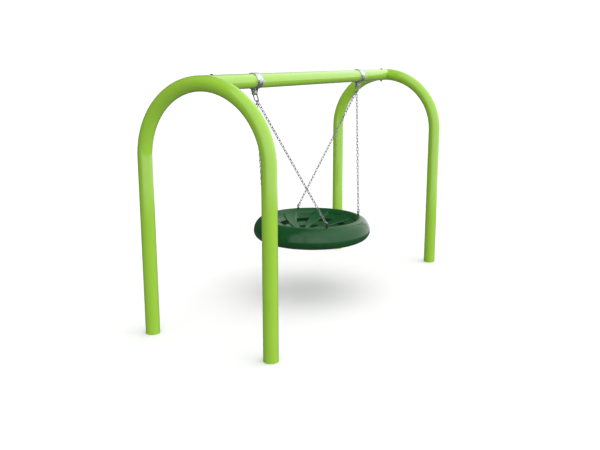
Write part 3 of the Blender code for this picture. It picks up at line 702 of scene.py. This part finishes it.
def band_outline(up):
    """Half a clamp band with bent ears, seen along the beam. up is 1 for the upper half or -1."""
    outer = CLAMP_INNER + CLAMP_THICKNESS
    ear_top = CLAMP_SPLIT + CLAMP_THICKNESS
    lean = math.degrees(math.asin((ear_top + EAR_FILLET) / (outer + EAR_FILLET)))
    corner_y = (outer + EAR_FILLET) * math.cos(math.radians(lean))
    bend = arc((corner_y, ear_top + EAR_FILLET), EAR_FILLET, 270, 180 + lean, 5)
    inner_lean = math.degrees(math.asin(CLAMP_SPLIT / CLAMP_INNER))
    right = [(EAR_REACH, CLAMP_SPLIT), (EAR_REACH, ear_top), *bend]
    left = [(-y, z) for y, z in reversed(right)]
    points = right + arc((0, 0), outer, lean, 180 - lean, BAND_STEPS)[1:-1] + left
    points += arc((0, 0), CLAMP_INNER, 180 - inner_lean, inner_lean, BAND_STEPS)
    return [(y, up * z) for y, z in points]


def cheek_outline():
    """A cheek plate seen along the beam: its top lies in the band, and its foot is round."""
    top = CLAMP_INNER + CLAMP_THICKNESS / 2
    span = math.degrees(math.asin(CHEEK_TOP_HALF_WIDTH / top))
    foot_centre = (0, CHEEK_FOOT_RADIUS - CHEEK_FOOT_DROP)
    foot = arc(foot_centre, CHEEK_FOOT_RADIUS, 180 + CHEEK_FOOT_TILT, 360 - CHEEK_FOOT_TILT, 12)
    return arc((0, 0), top, span - 90, -span - 90, 10) + foot


def weld_bead(x):
    """A bead where a cheek meets the band."""
    radius = CLAMP_INNER + CLAMP_THICKNESS
    span = math.degrees(math.asin(WELD_HALF_LENGTH / radius))
    bead = arc((0, BEAM_Z), radius, -90 - span, span - 90, 10)
    return sweep([(x, y, z) for y, z in bead], WELD_RADIUS, 8)


def build_bands(side, x):
    place = across_beam((x, 0, BEAM_Z))
    upper = slab(band_outline(1), CLAMP_WIDTH, BAND_EDGE)
    piece(f"band_upper_{side}", moved(upper, place), "frame", "galvanised", f"clamp_upper_{side}")
    lower = [moved(slab(band_outline(-1), CLAMP_WIDTH, BAND_EDGE), place)]
    for cheek_x in (x - CHEEK_X, x + CHEEK_X):
        cheek = slab(cheek_outline(), CHEEK_THICKNESS, CHEEK_EDGE)
        lower.append(moved(cheek, across_beam((cheek_x, 0, BEAM_Z))))
        lower.append(weld_bead(cheek_x - CHEEK_THICKNESS / 2))
        lower.append(weld_bead(cheek_x + CHEEK_THICKNESS / 2))
    piece(f"band_lower_{side}", merged(lower), "frame", "galvanised", f"clamp_lower_{side}")


def build_ear_bolts(side):
    seat = BEAM_Z + CLAMP_SPLIT + CLAMP_THICKNESS + EAR_BOLT_GAP
    for end in ENDS:
        for number in (1, 2):
            tag = f"{side}_{end}_{number}"
            upright_screw(f"ear_screw_{tag}", f"clamp_bolt_{tag}", M8_RADIUS, seat, "galvanised")
            upright_nut(f"ear_hex_{tag}", f"clamp_nut_{tag}", "galvanised")


def build_clamps():
    for side, sign in SIDES.items():
        build_bands(side, sign * HANGER_X)
        build_ear_bolts(side)


# Hangers ---------------------------------------------------------------------------------------

def swivel_outline():
    """The pendulum seen along the beam: a round eye with a square block under it."""
    eye = arc((0, 0), SWIVEL_EYE_RADIUS, -SWIVEL_EYE_TILT, 180 + SWIVEL_EYE_TILT, 20)
    block = [(-SWIVEL_HALF_WIDTH, -SWIVEL_SHOULDER_DROP), (-SWIVEL_HALF_WIDTH, -SWIVEL_FOOT_DROP),
             (SWIVEL_HALF_WIDTH, -SWIVEL_FOOT_DROP), (SWIVEL_HALF_WIDTH, -SWIVEL_SHOULDER_DROP)]
    return rounded([eye[-1], *block, eye[0]], SWIVEL_CORNER, 4)[:-1] + eye[:-1]


def build_pivot(side, x):
    """The bolt across the cheeks, with its head on the left, and its nut."""
    low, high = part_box(f"pivot_bolt_{side}")
    seat = x - CHEEK_X - CHEEK_THICKNESS / 2 - GAP
    bolt = button_head(M12_RADIUS, (high.z - low.z) / 2, seat - low.x, high.x - seat)
    piece(f"pivot_screw_{side}", moved(bolt, along((-1, 0, 0), (seat, 0, PIVOT_Z))), "frame",
          "stainless", f"pivot_bolt_{side}")
    low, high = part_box(f"pivot_nut_{side}")
    hexagon = nut(M12_NUT_CORNER, high.x - low.x)
    piece(f"pivot_hex_{side}", moved(hexagon, along((-1, 0, 0), (low.x, 0, PIVOT_Z))), "frame",
          "stainless", f"pivot_nut_{side}")


def build_swivel(side, x):
    """The pendulum on that bolt, and the pin that the shackle sways on, with its head in front."""
    body = f"{side}_pendulum"
    block = slab(swivel_outline(), extent(f"pendulum_{side}").x, SWIVEL_EDGE, 3)
    piece(f"swivel_block_{side}", moved(block, across_beam((x, 0, PIVOT_Z))), body, "stainless",
          f"pendulum_{side}")
    low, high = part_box(f"cross_pin_{side}")
    seat = low.y + PIN_HEAD_HEIGHT
    pin = button_head(PIN_RADIUS, (high.z - low.z) / 2, PIN_HEAD_HEIGHT, high.y - seat)
    piece(f"sway_pin_{side}", moved(pin, along((0, -1, 0), (x, seat, CROSS_Z))), body,
          "stainless", f"cross_pin_{side}")


def build_hangers():
    for side, sign in SIDES.items():
        build_pivot(side, sign * HANGER_X)
        build_swivel(side, sign * HANGER_X)


def hang_frame(sign):
    """The sway axis, turned so that local -Z runs down the middle of a hanger's two chains."""
    turn = Matrix.Rotation(sign * HANG_LEAN, 4, "Y")
    return Matrix.Translation((sign * HANGER_X, 0, CROSS_Z)) @ turn


def shackle():
    """A bow with an eye at each end, hung from the origin."""
    route = [(-BOW_RADIUS, -drop) for drop in BOW_LEG_STATIONS]
    route += arc((0, -BOW_LEG), BOW_RADIUS, 180, 360, 28)
    route += [(BOW_RADIUS, -drop) for drop in reversed(BOW_LEG_STATIONS)]
    bow = sweep([(0, y, z) for y, z in route], BOW_WIRE, 20)
    hole, rim = EYE_DISC_RADII
    half = EYE_DISC_THICKNESS / 2
    section = [(hole, -half), (rim, -half), (rim, half), (hole, half)]
    disc = turned(rounded(section, EYE_DISC_EDGE, 3, cyclic=True), 32, cyclic=True)
    discs = [moved(disc, along((0, 1, 0), (0, sign * (EYE_DISC_INNER_Y + half), 0)))
             for sign in ENDS.values()]
    return merged([bow, *discs])


def build_shackles():
    for side, sign in SIDES.items():
        # The shackle gets the darkened zinc, whose extra darkness is painted shade.
        piece(f"bow_shackle_{side}", moved(shackle(), hang_frame(sign)), f"{side}_chains",
              "chain_zinc", f"shackle_{side}")


# Chains ----------------------------------------------------------------------------------------

def oblong(half_length, half_width, wire, sides, steps):
    """A welded link that lies in the XY plane, long along Y."""
    straight = half_length - half_width
    loop = arc((0, straight), half_width, 0, 180, steps)
    loop += arc((0, -straight), half_width, 180, 360, steps)
    return sweep([(x, y, 0) for x, y in loop], wire, sides, cyclic=True)


def hang_turn(down, quarter):
    """Local Y runs up the chain. The link's plane holds world Y, or is a quarter turn from it."""
    across = (Vector((0, 1, 0)) - down * down.y).normalized()
    up = -down
    face = across.cross(up)
    if quarter:
        across, face = face, -across
    return Matrix((across, up, face)).transposed().to_4x4()


def chain(foot, down, length):
    """Links from the seat link up to the bow, an odd number so that they cross at both ends."""
    first = 2 * SEAT_LINK_HALF_LENGTH - SEAT_LINK_WIRE - CHAIN_WIRE
    inside = length + BOW_WIRE - CHAIN_WIRE - first
    count = round(inside / CHAIN_PITCH)
    if count % 2 == 0:
        count -= 1
    pitch = inside / count
    half_length = pitch / 2 + CHAIN_WIRE
    link = oblong(half_length, CHAIN_HALF_WIDTH, CHAIN_WIRE, 12, 9)
    links = []
    for k in range(count):
        place = Matrix.Translation(foot - down * (first + half_length + k * pitch))
        links.append(moved(link, place @ hang_turn(down, k % 2 == 0)))
    return merged(links)


def build_chains():
    drop = BOW_LEG + math.sqrt(BOW_RADIUS ** 2 - CHAIN_TOP_Y ** 2)
    seat_link = oblong(SEAT_LINK_HALF_LENGTH, SEAT_LINK_HALF_WIDTH, SEAT_LINK_WIRE, 16, 14)
    for side, sign in SIDES.items():
        for end, y_sign in ENDS.items():
            top = hang_frame(sign) @ Vector((0, y_sign * CHAIN_TOP_Y, -drop))
            foot = Vector((sign * EYE.x, y_sign * EYE.y, EYE.z))
            down = (foot - top).normalized()
            body = f"{side}_chains"
            place = Matrix.Translation(foot - down * SEAT_LINK_HALF_LENGTH)
            # The seat links and chains get the darkened zinc, whose extra darkness is painted shade.
            piece(f"rim_link_{side}_{end}", moved(seat_link, place @ hang_turn(down, False)),
                  body, "chain_zinc", f"seat_link_{side}_{end}")
            piece(f"links_{side}_{end}", chain(foot, down, (foot - top).length), body,
                  "chain_zinc", f"chain_{side}_{end}")


# Bowl ------------------------------------------------------------------------------------------

def smooth(t):
    t = min(1.0, max(0.0, t))
    return t * t * (3 - 2 * t)


def bowl_floor(r):
    return BOWL_FLOOR_Z + BOWL_RISE * (r / BOWL_RADIUS) ** 2


def bowl_top(r):
    """The bowl's upper face: a parabola that rolls into the crest, then the ring's section."""
    if r > RING_RADIUS:
        across = min(1.0, (r - RING_RADIUS) / RING_HALF_WIDTH)
        return RING_MID_Z + RING_RISE * math.sqrt(1 - across ** 2)
    if r <= ROLL_START:
        return bowl_floor(r)
    span = RING_RADIUS - ROLL_START
    t = (r - ROLL_START) / span
    slope = 2 * BOWL_RISE * ROLL_START / BOWL_RADIUS ** 2
    ease_in = 2 * t ** 3 - 3 * t ** 2 + 1
    ease_slope = t ** 3 - 2 * t ** 2 + t
    return ease_in * bowl_floor(ROLL_START) + ease_slope * span * slope + (1 - ease_in) * LIP_CREST_Z


def groove(r, radius, half_width, depth):
    """How deep a round groove is at a radius."""
    return depth * (1 - smooth((abs(r - radius) - half_width) / GROOVE_SIDE))


def bowl_height(r, inside):
    """Upper face at a radius, some metres inside a strap (negative in a gap)."""
    hub = 1 - smooth((r - HUB_RADIUS + BOWL_STEP) / (2 * BOWL_STEP))
    rim = smooth((r - RECESS_RADIUS + BOWL_STEP) / (2 * BOWL_STEP))
    strap = smooth((inside + STRAP_EDGE) / (2 * STRAP_EDGE))
    recess = RECESS_DEPTH * (1 - max(hub, rim, strap))
    crown = STRAP_CROWN * smooth(inside / STRAP_CROWN_REACH) * (1 - rim) * (1 - hub)
    grooves = groove(r, *HUB_GROOVE) + groove(r, *RIM_GROOVE) * (1 - strap)
    width, drop = LIP_ROUND
    edge = drop * smooth((r - LIP_RADIUS + width) / width) ** 2
    return bowl_top(r) - recess + crown - grooves - edge


def bowl_rows():
    """Radii, close together where the height changes."""
    rows = evenly(0.018, 0.072, 4)
    rows += [HUB_GROOVE[0] + d for d in (-0.005, -0.0025, 0.0025, 0.005)]
    rows += [HUB_RADIUS + k * BOWL_STEP for k in (-1, -0.5, 0, 0.5, 1, 5)]
    for inner, outer in SLOT_BANDS:
        rows += [inner, *evenly(inner, outer, 6)[1:-1], outer]
    rows += evenly(0.226, 0.282, 5) + evenly(0.372, 0.400, 3)
    rows += [RIM_GROOVE[0] + d for d in (-0.0035, -0.0015, 0.0015, 0.0035, 0.014)]
    rows += [RECESS_RADIUS + k * BOWL_STEP for k in (-3, -1, -0.5, 0, 0.5, 1)]
    rows += evenly(0.452, 0.480, 5) + evenly(0.488, 0.520, 5) + [0.526, 0.531]
    rows += [LIP_RADIUS - 0.0022, LIP_RADIUS - 0.0004]
    return sorted(rows)


def sector_columns():
    """Columns of one eighth of the bowl, from just inside one strap to just inside the next.

    Each is (kind, value): a place from -1 to 1 across the strap, metres inside its right side,
    a fraction across the gap, or metres inside the next strap.
    """
    steps = evenly(STRAP_EDGE, -STRAP_EDGE, 5)
    columns = [("strap", f / STRAP_COLUMNS * 2 - 1) for f in range(1, STRAP_COLUMNS)]
    columns += [("right", d) for d in steps]
    columns += [("gap", f / GAP_COLUMNS) for f in range(1, GAP_COLUMNS)]
    columns += [("next", d) for d in reversed(steps)]
    return columns


def column_place(kind, value, r):
    """(angle from the strap's middle, metres inside a strap) at a radius."""
    half = STRAP_HALF_ANGLE
    margin = STRAP_EDGE / r
    if kind == "strap":
        angle = value * (half - margin)
        return angle, (half - abs(angle)) * r
    if kind == "right":
        return half - value / r, value
    if kind == "next":
        return STRAP_PITCH - half + value / r, value
    start = half + margin
    span = STRAP_PITCH - half - margin - start
    return start + span * value, -STRAP_EDGE - min(value, 1 - value) * span * r


def bowl_skin():
    """The upper face, with the slots left open between the straps."""
    columns = sector_columns()
    rows = bowl_rows()
    shape = bmesh.new()
    hub = shape.verts.new((0, 0, bowl_height(0.0, 1.0)))
    loops = []
    for r in rows:
        loop = []
        swirl = STRAP_ANGLE + STRAP_SWEEP * math.log(STRAP_START / max(r, SWIRL_INNER_RADIUS))
        for sector in range(STRAP_COUNT):
            for kind, value in columns:
                angle, inside = column_place(kind, value, max(r, COLUMN_INNER_RADIUS))
                turn = swirl + angle + sector * STRAP_PITCH
                place = (r * math.cos(turn), r * math.sin(turn), bowl_height(r, inside))
                loop.append(shape.verts.new(place))
        loops.append(loop)
    bridge(shape, [hub], loops[0])
    for r, first, second in zip(rows, loops, loops[1:]):
        in_slot = any(inner <= r < outer - 1e-6 for inner, outer in SLOT_BANDS)
        for i in range(len(first)):
            kind, value = columns[i % len(columns)]
            in_gap = kind == "gap" or (kind == "right" and value == -STRAP_EDGE)
            if in_slot and in_gap:
                continue
            j = (i + 1) % len(first)
            shape.faces.new((first[i], first[j], second[j], second[i]))
    bmesh.ops.recalc_face_normals(shape, faces=shape.faces)
    if hub.link_faces[0].normal.z < 0:
        bmesh.ops.reverse_faces(shape, faces=shape.faces)
    mesh = bpy.data.meshes.new("bowl")
    shape.to_mesh(mesh)
    shape.free()
    return mesh


def bowl_rib():
    """The stiffening rib under the bowl, between the two rows of slots."""
    inner, outer = RIB_RADII
    top = bowl_floor(inner) - RECESS_DEPTH - 0.003
    edge = 0.001
    section = [(inner, top), (inner + edge, RIB_FOOT_Z + edge), (inner + 2 * edge, RIB_FOOT_Z)]
    section += [(outer - 2 * edge, RIB_FOOT_Z), (outer - edge, RIB_FOOT_Z + edge), (outer, top)]
    return turned(section, 96, cyclic=True)


def build_bowl():
    mesh = merged([walled(bowl_skin(), BOWL_WALL, BOWL_EDGE), bowl_rib()])
    piece("saucer_bowl", mesh, "seat", "seat_green", "seat_bowl", sharp=50)


# Ring ------------------------------------------------------------------------------------------

def ring_point(angle, inset=0.0):
    """On the ring's elliptic section. 0 points outwards and 90 up."""
    a = math.radians(angle)
    rise = RING_RISE if angle > 0 else RING_FALL
    return (RING_RADIUS + (RING_HALF_WIDTH - inset) * math.cos(a),
            RING_MID_Z + (rise - inset) * math.sin(a))


def ring_outline():
    """The ring's skin: rebate under the lip, bulge, foot, inner wall and top, as (radius, z)."""
    points = [ring_point(angle, LIP_REBATE) for angle in evenly(90, LIP_ANGLE, 7)]
    points += [ring_point(LIP_ANGLE - 0.6, 0.0062), ring_point(LIP_ANGLE - 0.9, 0.0014)]
    points += [ring_point(angle) for angle in evenly(LIP_ANGLE - 1.2, 0, 27)]
    points += [ring_point(angle) for angle in evenly(0, -90, 23)[1:]]
    points += RING_INNER_WALL
    floor_wall, lip_wall = BOWL_SOLID_WALLS
    for r in (0.405, 0.43, 0.465):
        blend = max(0.0, (r - ROLL_START) / (RING_RADIUS - ROLL_START))
        wall = floor_wall + (lip_wall - floor_wall) * blend
        points.append((r, bowl_top(r) - wall - LIP_GAP))
    return points


def ring_cavity():
    """The space inside the ring, a flatter copy of its section."""
    outwards, down = CAVITY_SHIFT
    section = []
    for a in around(24):
        rise = RING_RISE if a < math.pi else RING_FALL
        section.append((RING_RADIUS + outwards + CAVITY_HALF_WIDTH * math.cos(a),
                        RING_MID_Z - down + (rise - CAVITY_MARGIN) * math.sin(a) * CAVITY_FLATNESS))
    return turned(section, RING_SIDES // 2, cyclic=True)


def ring_drains():
    """Cutters for the holes in the ring's foot."""
    drain = loft([circle(DRAIN_RADIUS, z, 20) for z in (-DRAIN_REACH, DRAIN_REACH)], capped=True)
    foot = Matrix.Translation((RING_RADIUS, 0, RING_FOOT_Z))
    return [moved(drain, Matrix.Rotation(a, 4, "Z") @ foot) for a in around(DRAIN_COUNT)]


def build_ring():
    skin = turned(ring_outline(), RING_SIDES, cyclic=True)
    mesh = cut(skin, [ring_cavity(), *ring_drains()])
    piece("saucer_bumper", mesh, "seat", "seat_green", "seat_ring", sharp=42)


def build_eye_bolts():
    collar = EYE.z - COLLAR_DROP
    loop = arc((0, 0), EYE_RADIUS, 0, 360, 48)[:-1]
    for side, sign in SIDES.items():
        for end, y_sign in ENDS.items():
            tag = f"{side}_{end}"
            x = sign * EYE.x
            y = y_sign * EYE.y
            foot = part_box(f"eye_bolt_{tag}")[0].z - collar
            profile = [*COLLAR_PROFILE, (M12_RADIUS, 0.0), (M12_RADIUS, foot + 0.001),
                       (M12_RADIUS - 0.001, foot), (0, foot)]
            shank = moved(turned(profile, 36), Matrix.Translation((x, y, collar)))
            eye = sweep([(x + a, y, EYE.z + b) for a, b in loop], EYE_WIRE, 16, cyclic=True)
            # The eye bolts get the near-black steel, whose darkness is painted shade on pale metal.
            piece(f"rim_eye_{tag}", merged([shank, eye]), "seat", "dark_steel",
                  f"eye_bolt_{tag}")


# Hidden pieces keep the CAD's shape ------------------------------------------------------------

def finish_hidden():
    hidden = {"spigot": "galvanised", "pivot_bush": "bronze", "rim_hoop": "galvanised"}
    for name, thing in frame["nodes"].items():
        for start, finish in hidden.items():
            if name.startswith(start):
                dressed(thing.data, finish, 35)


# Stage -----------------------------------------------------------------------------------------

def build_floor():
    material, tree, shader, coordinates = blank("pale_floor")
    drift = noise(tree, coordinates, scale=3.0)
    tint = ramp(tree, drift, 0.3, (0.885, 0.885, 0.885), 0.7, (0.895, 0.895, 0.895))
    tree.links.new(tint, shader.inputs["Base Color"])
    shader.inputs["Roughness"].default_value = 0.9
    shader.inputs["Specular IOR Level"].default_value = 0.0
    mesh = loft([circle(FLOOR_RADIUS, FLOOR_Z, 48), circle(0, FLOOR_Z, 1)])
    mesh.materials.append(material)
    floor = linked("floor", mesh)
    floor.visible_diffuse = False
    floor.visible_glossy = False


def combined(tree, operation, first, second):
    made = tree.nodes.new("ShaderNodeMath")
    made.operation = operation
    tree.links.new(first, made.inputs[0])
    tree.links.new(second, made.inputs[1])
    return made.outputs["Value"]


def towards(tree, direction, axis):
    """1 where a direction points along the axis, and -1 where it points the other way."""
    made = tree.nodes.new("ShaderNodeVectorMath")
    made.operation = "DOT_PRODUCT"
    made.inputs[1].default_value = axis
    tree.links.new(direction, made.inputs[0])
    return made.outputs["Value"]


def glow(tree, strength):
    """White light, of a strength that is a number or a node's output."""
    made = tree.nodes.new("ShaderNodeBackground")
    made.inputs["Color"].default_value = (1, 1, 1, 1)
    if isinstance(strength, float):
        made.inputs["Strength"].default_value = strength
    else:
        tree.links.new(strength, made.inputs["Strength"])
    return made.outputs["Background"]


def chosen(tree, choice, first, second):
    """The first shader where the choice is 0, and the second where it is 1."""
    made = tree.nodes.new("ShaderNodeMixShader")
    tree.links.new(choice, made.inputs["Fac"])
    tree.links.new(first, made.inputs[1])
    tree.links.new(second, made.inputs[2])
    return made.outputs["Shader"]


def mirrored_studio(tree, direction):
    """What gloss shows: two bright walls in front, a dim ground, and one bright card."""
    height = towards(tree, direction, (0, 0, 1))
    left = towards(tree, direction, MIRROR_LEFT)
    right = towards(tree, direction, MIRROR_RIGHT)
    left_wall = spread(tree, left, *MIRROR_BACK_TO_FRONT, *MIRROR_LEFT_EDGE)
    right_wall = spread(tree, right, *MIRROR_BACK_TO_FRONT, *MIRROR_RIGHT_EDGE)
    walls = combined(tree, "MAXIMUM", left_wall, right_wall)
    top = spread(tree, height, 1.0, MIRROR_TOP, *MIRROR_TOP_EDGE)
    above = spread(tree, height, 0.0, 1.0, *MIRROR_HORIZON)
    below = spread(tree, height, MIRROR_GROUND, 0.0, *MIRROR_HORIZON)
    room = combined(tree, "MULTIPLY", combined(tree, "MULTIPLY", walls, top), above)
    room = combined(tree, "ADD", room, below)
    beside = towards(tree, direction, MIRROR_CARD_AT)
    card = spread(tree, beside, 0.0, MIRROR_CARD, *MIRROR_CARD_EDGE)
    foot = spread(tree, height, 0.0, 1.0, *MIRROR_CARD_FOOT)
    return combined(tree, "MAXIMUM", room, combined(tree, "MULTIPLY", card, foot))


def build_lights():
    """Soft light from above and in front, a studio for gloss to mirror, and a white backdrop."""
    world = bpy.data.worlds.new("studio")
    world.use_nodes = True
    bpy.context.scene.world = world
    tree = world.node_tree
    tree.nodes.clear()
    direction = tree.nodes.new("ShaderNodeTexCoord").outputs["Generated"]
    facing = towards(tree, direction, SOFT_LIGHT_FROM)
    soft = glow(tree, spread(tree, facing, *SOFT_LIGHT, SOFT_LIGHT_START, 1.0))
    mirror = glow(tree, mirrored_studio(tree, direction))
    rays = tree.nodes.new("ShaderNodeLightPath").outputs
    lit = chosen(tree, rays["Is Glossy Ray"], soft, mirror)
    seen = chosen(tree, rays["Is Camera Ray"], lit, glow(tree, BACKDROP))
    output = tree.nodes.new("ShaderNodeOutputWorld")
    tree.links.new(seen, output.inputs["Surface"])


def build_camera():
    data = bpy.data.cameras.new("camera")
    data.lens = CAMERA_LENS
    data.sensor_width = CAMERA_SENSOR
    camera = linked("camera", data)
    camera.location = CAMERA_PLACE
    camera.rotation_euler = (math.pi / 2 - CAMERA_DOWN, 0.0, CAMERA_TURN)
    bpy.context.scene.camera = camera
    bpy.context.scene.view_settings.view_transform = "Standard"


build_camera()
build_arches()
build_beam()
build_splices()
build_clamps()
build_hangers()
build_shackles()
build_chains()
build_bowl()
build_ring()
build_eye_bolts()
finish_hidden()
build_floor()
build_lights()
